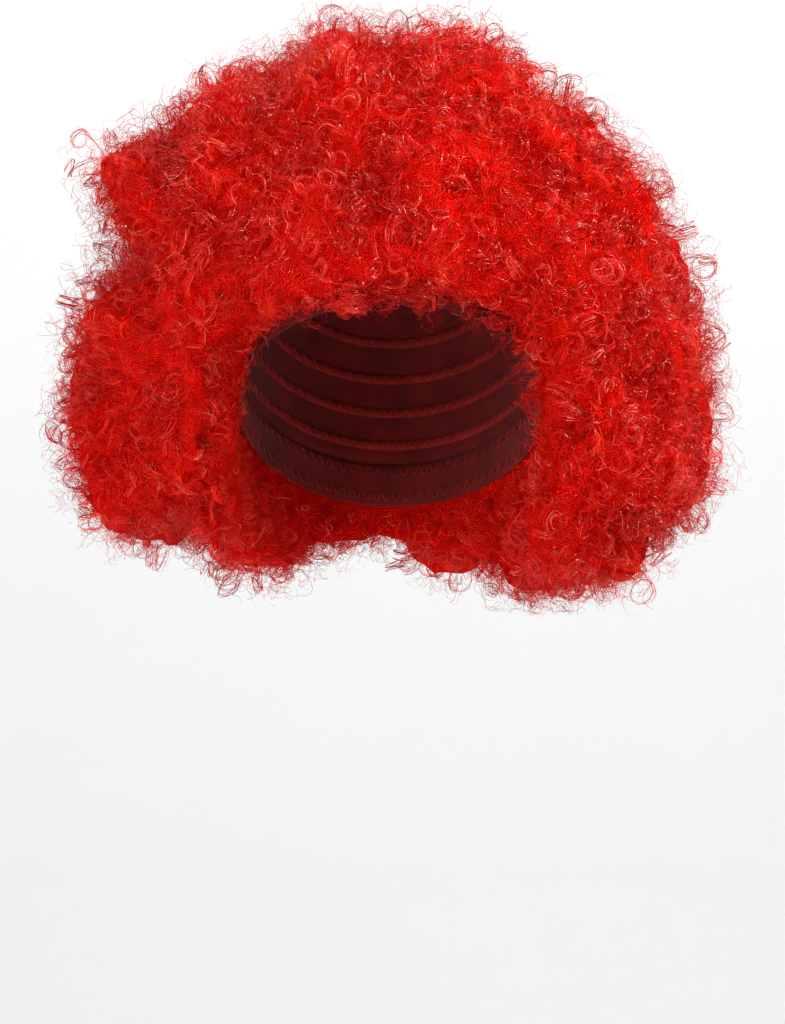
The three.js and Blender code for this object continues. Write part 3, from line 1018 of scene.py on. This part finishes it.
class Curl(Enum):
    """The kinds of curl: bundles close to the mass, fibres over them, loose loops and single frizz."""

    BUNDLE = RingletStyle(
        fibres=6, radius=mm(3.0, 6.5), turns=(0.8, 1.3), pitch=mm(2.0, 6.0), lift=mm(-1.5, 2.5),
        rise=(-10.0, 45.0), width=mm(0.34, 0.50), steps=8,
    )
    RINGLET = RingletStyle(
        fibres=7, radius=mm(3.4, 7.0), turns=(0.8, 1.3), pitch=mm(2.0, 9.0), lift=mm(-0.5, 5.5),
        rise=(-5.0, 65.0), width=mm(0.20, 0.30), steps=9,
    )
    WAVE = RingletStyle(
        fibres=6, radius=mm(1.6, 3.0), turns=(0.7, 1.2), pitch=mm(12.0, 20.0), lift=mm(0.0, 3.0),
        rise=(-5.0, 14.0), width=mm(0.20, 0.32), spread=0.25, steps=7, fall=1.6,
    )
    LOOP = RingletStyle(
        fibres=4, radius=mm(3.6, 7.0), turns=(1.3, 2.1), pitch=mm(1.0, 5.0), lift=mm(3.0, 13.0),
        rise=(0.0, 60.0), width=mm(0.26, 0.40), spread=0.06, steps=20, wander=0.6 * MM, root=0.25,
    )
    HANGING = RingletStyle(
        fibres=6, radius=mm(2.8, 4.4), turns=(1.8, 2.8), pitch=mm(4.0, 7.0), lift=mm(0.5, 3.0),
        rise=(-3.0, 8.0), width=mm(0.20, 0.32), spread=0.14, steps=26, wander=0.5 * MM, fall=5.0, root=0.2,
    )
    FRIZZ = RingletStyle(
        fibres=1, radius=mm(2.0, 6.0), turns=(0.6, 1.5), pitch=mm(3.0, 11.0), lift=mm(0.0, 15.0),
        rise=(-20.0, 70.0), width=mm(0.14, 0.21), steps=9, wander=1.2 * MM,
    )


@dataclass(frozen=True)
class BrowCurls:
    """The curls that hang over the brow: a clump beside the middle and a few fine ones over it."""

    clump: tuple[float, float, int] = (-18.5, 3.6, 34)
    fine: tuple[float, float, int] = (8.0, 11.0, 8)
    height: tuple[float, float] = (-66.0, -54.0)

    def roots(self, tree: BVHTree, rng: np.random.Generator) -> Array:
        """Finds where they start, on the front of the fringe.

        Args:
            tree: All the masses together.
            rng: The source of chance.

        Returns:
            Places, one row each.
        """
        places = []
        for (middle, spread, count), low in zip((self.clump, self.fine), self.height):
            for x in rng.normal(middle, spread, count):
                place, z = None, low + rng.uniform(0.0, 6.0) + 0.5 * abs(x - middle)
                while place is None and z < 0:
                    place = tree.ray_cast(Vector((x * MM, -0.3, z * MM)), Vector((0, 1, 0)), 0.215)[0]
                    z += 0.5
                places.append(tuple(place))
        return np.array(places)


@dataclass
class Curls:
    """The curls and loose fibres of one section."""

    section: Section
    head: HeadForm
    seed: int
    lowest: float = -196 * MM
    per_square_metre: dict = field(
        default_factory=lambda: {
            "curls": {Curl.BUNDLE: 2400, Curl.RINGLET: 8600, Curl.WAVE: 3400},
            "frizz": {Curl.LOOP: 2800, Curl.FRIZZ: 52000},
        }
    )

    def clear_of_head(self, paths: Array) -> Array:
        """Moves paths out of the head's space.

        Args:
            paths: Paths (fibre, step, xyz).

        Returns:
            The moved paths.
        """
        flat = paths.reshape(-1, 3)
        needed = np.where(self.head.above_edge(flat) > -3 * MM, 2.5 * MM, -14 * MM)
        short = np.maximum(needed - self.head.outside(flat), 0.0)
        flat = flat + unit(flat - np.array(HAIR_CENTRE)) * short[:, None]
        return above_low(flat, self.lowest).reshape(paths.shape)

    def build(self, exposed: Exposed, tree: BVHTree) -> list[bpy.types.Object]:
        """Makes the section's curls and its frizz, a mesh each.

        Args:
            exposed: Where curls can start.
            tree: All the masses together.

        Returns:
            The pieces, without their material.
        """
        rng = np.random.default_rng(self.seed)
        room = exposed.weights.sum()
        made = []
        for part, kinds in self.per_square_metre.items():
            cloud = FibreCloud(f"{self.section.value}_{part}")
            for kind, density in kinds.items():
                style, count = kind.value, int(density * room)
                places, normals, calm = exposed.scatter(count, rng)
                paths, spokes, height = style.fibre_paths(places, normals, calm, rng)
                shared = np.repeat(rng.uniform(0.2, 0.75, count), style.fibres)
                # Painted shade: fibres of curls that stand far off the mass get a lower tone, darker against
                # the backdrop.
                far = np.clip((height - 3 * MM) / (9 * MM), 0.0, 1.0)
                # Painted glint: about one fibre in eight gets a higher tone that reaches the painted glint
                # colour.
                glint = 0.35 * (rng.random(len(shared)) < 0.12)
                tone = np.clip(shared + rng.normal(0, 0.12, len(shared)) + glint - 0.5 * far, 0.03, 0.97)
                cloud.add(self.clear_of_head(paths), spokes, style.width, tone, rng)
            if self.section is Section.FRINGE and part == "frizz":
                style, places = Curl.HANGING.value, BrowCurls().roots(tree, rng)
                ahead = np.tile([0.0, -1.0, 0.0], (len(places), 1))
                paths, spokes, _ = style.fibre_paths(places, ahead, np.ones(len(places)), rng)
                tone = rng.uniform(0.2, 0.8, len(paths))
                cloud.add(self.clear_of_head(paths), spokes, style.width, tone, rng)
            made.append(cloud.build())
        return made


# Cap


def swept(path: Array, out: Array, profile: Array) -> tuple[Array, Array]:
    """Sweeps a closed profile along a path that joins up with its start.

    Args:
        path: The path's points.
        out: The outward direction at each.
        profile: The profile's corners, as (aside, outward) offsets.

    Returns:
        Points and four-cornered faces.
    """
    ahead = np.roll(path, -1, axis=0) - np.roll(path, 1, axis=0)
    aside = unit(np.cross(unit(ahead), out))
    rings = path[:, None] + aside[:, None] * profile[None, :, :1] + out[:, None] * profile[None, :, 1:]
    return rings.reshape(-1, 3), ring_faces(len(path), len(profile))


def merged(parts: list[tuple[Array, Array]]) -> tuple[Array, Array]:
    """Joins lists of points and faces into one.

    Args:
        parts: Points and faces of each.

    Returns:
        All the points and all the faces.
    """
    points, faces, total = [], [], 0
    for own_points, own_faces in parts:
        points.append(own_points)
        faces.append(own_faces + total)
        total += len(own_points)
    return np.concatenate(points), np.concatenate(faces)


@dataclass
class StretchCap:
    """The cap: stretch net, sewn tapes that carry the rows of hair, and the elastic at the edge."""

    head: HeadForm
    around: int = 128
    down: int = 34
    cloth: float = 0.7 * MM
    band_width: float = 20 * MM
    seam_gap: float = 0.3 * MM
    row_spacing: float = 15 * MM
    tape_width: float = 4.2 * MM
    stitch_length: float = 3.0 * MM

    def bearings(self, count: int) -> Array:
        """Evenly spaced bearings all round."""
        return np.linspace(0.0, math.tau, count, endpoint=False)

    def net(self) -> bpy.types.Object:
        """Makes the net, one curved sheet from the crown down to the elastic."""
        bottom = self.band_width + self.seam_gap
        offset = 1.5 * MM - self.cloth
        lines = np.array(
            [self.head.meridian(b, None, bottom, offset, self.down) for b in self.bearings(self.around)]
        )
        crown = lines[0, 0]
        body = lines[:, 1:]
        points = np.concatenate([crown[None], body.reshape(-1, 3)])
        rows = self.down - 1
        i = np.arange(self.around)[:, None]
        j = np.arange(rows - 1)[None, :]
        beside = (i + 1) % self.around
        here, next_line = 1 + i * rows + j, 1 + beside * rows + j
        quads = np.stack([here, here + 1, next_line + 1, next_line], axis=-1).reshape(-1, 4)
        fan = np.array([[0, 1 + k * rows, 1 + ((k + 1) % self.around) * rows] for k in range(self.around)])
        mesh = bpy.data.meshes.new("cap_net")
        mesh.from_pydata(points.tolist(), [], quads.tolist() + fan.tolist())
        thing = placed("cap_net", mesh)
        layer = mesh.uv_layers.new(name=TONE_MAP)
        for loop in mesh.loops:
            at = Vector(points[loop.vertex_index])
            turn = math.atan2(at.y, at.x)
            layer.data[loop.index].uv = (turn * 0.08 % 1.0, -at.z % 1.0)
        apply_modifier(thing, "SOLIDIFY", thickness=self.cloth, offset=0.0)
        shade_smooth(thing)
        return thing

    def level_line(self, height: float, offset: float, count: int) -> tuple[Array, Array]:
        """A closed line round the head form, level with the edge.

        Args:
            height: How far above the edge plane.
            offset: How far the form is grown.
            count: The number of points.

        Returns:
            The points and the outward direction at each.
        """
        line = np.array(
            [self.head.meridian(b, height, height - 1 * MM, offset, 2) for b in self.bearings(count)]
        )
        path, below = line[:, 0], line[:, 1]
        ahead = unit(np.roll(path, -1, axis=0) - np.roll(path, 1, axis=0))
        return path, unit(np.cross(unit(below - path), ahead))

    def row_heights(self) -> list[float]:
        """How far each row of hair is sewn above the edge."""
        top = float(self.head.above_edge(np.array([[0.0, 0.0, 0.0]]))[0]) - 12 * MM
        first = self.band_width + 9 * MM
        return list(np.arange(first, top, self.row_spacing))

    def tapes(self) -> bpy.types.Object:
        """Makes the tapes sewn on the inside of the net."""
        half, thin = self.tape_width / 2, 0.25 * MM
        profile = np.array([(-half, thin), (-half, -thin), (0.0, -1.5 * thin), (half, -thin), (half, thin)])
        parts = []
        for height in self.row_heights():
            path, out = self.level_line(height, 0.25 * MM, 120)
            parts.append(swept(path, out, profile))
        points, faces = merged(parts)
        thing = mesh_object("weft_tapes", points, faces, np.stack([points[:, 0], points[:, 2]], axis=1))
        shade_smooth(thing)
        return thing

    def zigzag(self, height: float, offset: float, swing: float) -> tuple[Array, Array]:
        """One row of zigzag stitching as a thin closed thread.

        Args:
            height: How far above the edge plane.
            offset: How far the form is grown.
            swing: Half the stitching's width.

        Returns:
            Points and faces.
        """
        around = np.linalg.norm(np.diff(self.level_line(height, offset, 90)[0], axis=0), axis=1).sum()
        stitches = 2 * int(around / self.stitch_length / 2)
        upper = self.level_line(height + swing, offset, 2 * stitches)
        lower = self.level_line(height - swing, offset, 2 * stitches)
        pick = (np.arange(2 * stitches) // 2) % 2 == 0
        path = np.where(pick[:, None], upper[0], lower[0])
        out = np.where(pick[:, None], upper[1], lower[1])
        turn = np.linspace(0, math.tau, 4, endpoint=False)
        profile = 0.22 * MM * np.stack([np.cos(turn), np.sin(turn)], axis=1)
        return swept(path, out, profile)

    def stitching(self) -> bpy.types.Object:
        """Makes the zigzag stitches that hold the tapes and the elastic."""
        rows = [self.zigzag(height, -0.15 * MM, 1.3 * MM) for height in self.row_heights()]
        for share in (0.2, 0.8):
            rows.append(self.zigzag(share * self.band_width, -1.1 * MM, 1.6 * MM))
        points, faces = merged(rows)
        thing = mesh_object("cap_stitching", points, faces)
        shade_smooth(thing)
        return thing

    def elastic(self) -> bpy.types.Object:
        """Makes the elastic, ribbed along its length and gently gathered."""
        count, across = 270, 13
        low, high = 0.3 * MM, self.band_width - 0.3 * MM
        bearings = self.bearings(count)
        share = np.linspace(0.0, 1.0, across)
        inner, outer = [], []
        for number, bearing in enumerate(bearings):
            gather = 0.22 * MM * math.sin(number * math.tau / 7.0) * math.sin(number * 0.37)
            soft = 0.25 * MM * np.cos(share * math.tau * 4)
            rim = 0.9 * MM * (2 * share - 1) ** 6
            for offset, sign, lines in ((-0.75 * MM, -1, inner), (1.2 * MM, 1, outer)):
                line = self.head.meridian(bearing, high, low, 0.0, across)
                away = unit(line * np.array([1.0, (self.head.width / self.head.length) ** 2, 0.0]))
                grown = offset + sign * (gather + soft * 0.8 - rim)
                lines.append(line + away * grown[:, None])
        rings = np.concatenate([np.array(outer), np.array(inner)[:, ::-1]], axis=1)
        sides = 2 * across
        uv = np.empty((count, sides, 2))
        uv[..., 0] = np.minimum(bearings, math.tau - bearings)[:, None] * 0.08
        uv[..., 1] = (np.minimum(np.arange(sides), sides - 1 - np.arange(sides)) * 1.25 * MM)[None, :]
        thing = mesh_object("edge_elastic", rings.reshape(-1, 3), ring_faces(count, sides), uv.reshape(-1, 2))
        shade_smooth(thing)
        return thing

    def build(self) -> None:
        """Makes and dresses the cap's pieces."""
        knit = KnitFinish("cap_knit", (0.05, 0.004, 0.004), (0.20, 0.010, 0.009))
        tape = KnitFinish("tape_knit", (0.14, 0.006, 0.005), (0.34, 0.014, 0.010))
        ribbed = KnitFinish("elastic_knit", (0.06, 0.004, 0.004), (0.22, 0.012, 0.010), wales=900.0)
        net, tapes, stitches, elastic = self.net(), self.tapes(), self.stitching(), self.elastic()
        settle(net, knit.material(), "net", "cap")
        settle(tapes, tape.material(), "net")
        settle(stitches, ThreadFinish().material(), "net")
        settle(elastic, ribbed.material(), "elastic", "edge_band")


# Studio


@dataclass
class Studio:
    """The pale room, its soft lights and the camera."""

    face_distance: float = 1.8
    face_plane: float = -85 * MM
    eye_height: float = -147.6 * MM
    scale: float = 0.456 * MM
    rows: int = 1024
    surround: float = 0.37

    def room(self) -> None:
        """Makes the floor with its backdrop, curved where they meet."""
        deselect_all()
        bpy.ops.mesh.primitive_plane_add(size=1.0, location=(0.0, 0.0, 0.0))
        paper = bpy.context.active_object
        paper.name = "studio_floor"
        move_points(paper, points_of(paper) * [7.0, 5.2, 1.0] + [0.0, -0.5, -0.75])
        bpy.ops.object.mode_set(mode="EDIT")
        bpy.ops.mesh.select_all(action="DESELECT")
        bpy.ops.object.mode_set(mode="OBJECT")
        for edge in paper.data.edges:
            edge.select = all(paper.data.vertices[v].co.y > 0 for v in edge.vertices)
        bpy.ops.object.mode_set(mode="EDIT")
        bpy.ops.mesh.select_mode(type="EDGE")
        bpy.ops.mesh.extrude_region_move(TRANSFORM_OT_translate={"value": (0.0, 0.0, 4.0)})
        bpy.ops.object.mode_set(mode="OBJECT")
        apply_modifier(paper, "BEVEL", width=0.6, segments=12)
        paper.data.materials.append(StudioFinish().material())
        shade_smooth(paper)

    def light(
        self, name: str, place: tuple, size: float, watts: float, aim: tuple = (0.0, 0.0, -60 * MM)
    ) -> bpy.types.Object:
        """Adds a soft square light.

        Args:
            name: The light's name.
            place: Where it is.
            size: Its side.
            watts: Its power.
            aim: The point that it faces.

        Returns:
            The light.
        """
        lamp = bpy.data.lights.new(name, "AREA")
        lamp.size = size
        lamp.energy = watts
        holder = placed(name, lamp)
        turn = (Vector(aim) - Vector(place)).to_track_quat("-Z", "Y").to_matrix().to_4x4()
        holder.matrix_world = Matrix.Translation(place) @ turn
        return holder

    def lights(self) -> None:
        """Adds the lights and the pale surround."""
        world = bpy.data.worlds.new("studio_air")
        world.use_nodes = True
        surround = world.node_tree.nodes["Background"].inputs
        surround["Color"].default_value = (1.0, 1.0, 1.0, 1.0)
        surround["Strength"].default_value = self.surround
        bpy.context.scene.world = world
        self.light("front_key", (1.0, -1.4, 0.8), 0.7, 12.5)
        self.light("front_fill", (-1.3, -1.5, -0.1), 1.4, 24.0)
        self.light("upper_right", (1.1, -0.2, 1.0), 0.45, 24.0)
        glint = self.light("glint", (1.1, -0.7, 1.2), 0.35, 150.0)
        glint.visible_diffuse = False
        self.light("upper_left", (-1.1, 0.2, 1.0), 0.8, 6.0)
        self.light("backdrop_left", (-1.3, 1.0, 1.5), 0.8, 9.0, aim=(-0.3, 2.1, 0.9))
        self.light("backdrop_right", (1.3, 1.0, 1.5), 0.8, 12.0, aim=(0.3, 2.1, 0.9))

    def camera(self) -> None:
        """Adds the camera, straight on and level, as far off as the photograph's."""
        lens = bpy.data.cameras.new("camera")
        lens.sensor_fit = "VERTICAL"
        lens.sensor_height = 24.0
        lens.lens = lens.sensor_height * self.face_distance / (self.rows * self.scale)
        holder = placed("camera", lens)
        holder.location = (0.0, self.face_plane - self.face_distance, self.eye_height)
        holder.rotation_euler = (math.pi / 2, 0.0, 0.0)
        bpy.context.scene.camera = holder

    def build(self) -> None:
        """Makes the whole studio."""
        self.room()
        self.lights()
        self.camera()
        bpy.context.scene.view_settings.view_transform = "Standard"


def build_hair(frame: dict, head: HeadForm) -> None:
    """Makes the fibre masses and the curls on them.

    Args:
        frame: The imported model.
        head: The head form.
    """
    masses = FibreMass(head).sections({section: frame["nodes"][section.value] for section in Section})
    points, faces, total = [], [], 0
    for mass in masses.values():
        own = points_of(mass)
        points.extend(map(tuple, own))
        faces.extend(tuple(total + v for v in face.vertices) for face in mass.data.polygons)
        total += len(own)
    tree = BVHTree.FromPolygons(points, faces)
    tangle = MassFinish().material()
    fibres = (
        FibreFinish().material(),
        FibreFinish("bright_fibre", roughness=0.25, gloss=0.40, tint=(1.0, 0.6, 0.5)).material(),
    )
    for number, section in enumerate(Section):
        exposed = Exposed.of(masses[section], tree, head)
        curls = Curls(section, head, seed=40 + number).build(exposed, tree)
        settle(masses[section], tangle, "hair", section.value)
        for piece, look in zip(curls, fibres):
            settle(piece, look, "hair")
        LOG.info("%s: %.4f m2 for curls", section.value, exposed.weights.sum())


def main() -> None:
    """Builds the wig in its studio."""
    logging.basicConfig(level=logging.INFO, format="%(name)s: %(message)s")
    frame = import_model()
    head = HeadForm()
    Studio().build()
    StretchCap(head).build()
    build_hair(frame, head)


if __name__ == "__main__":
    main()
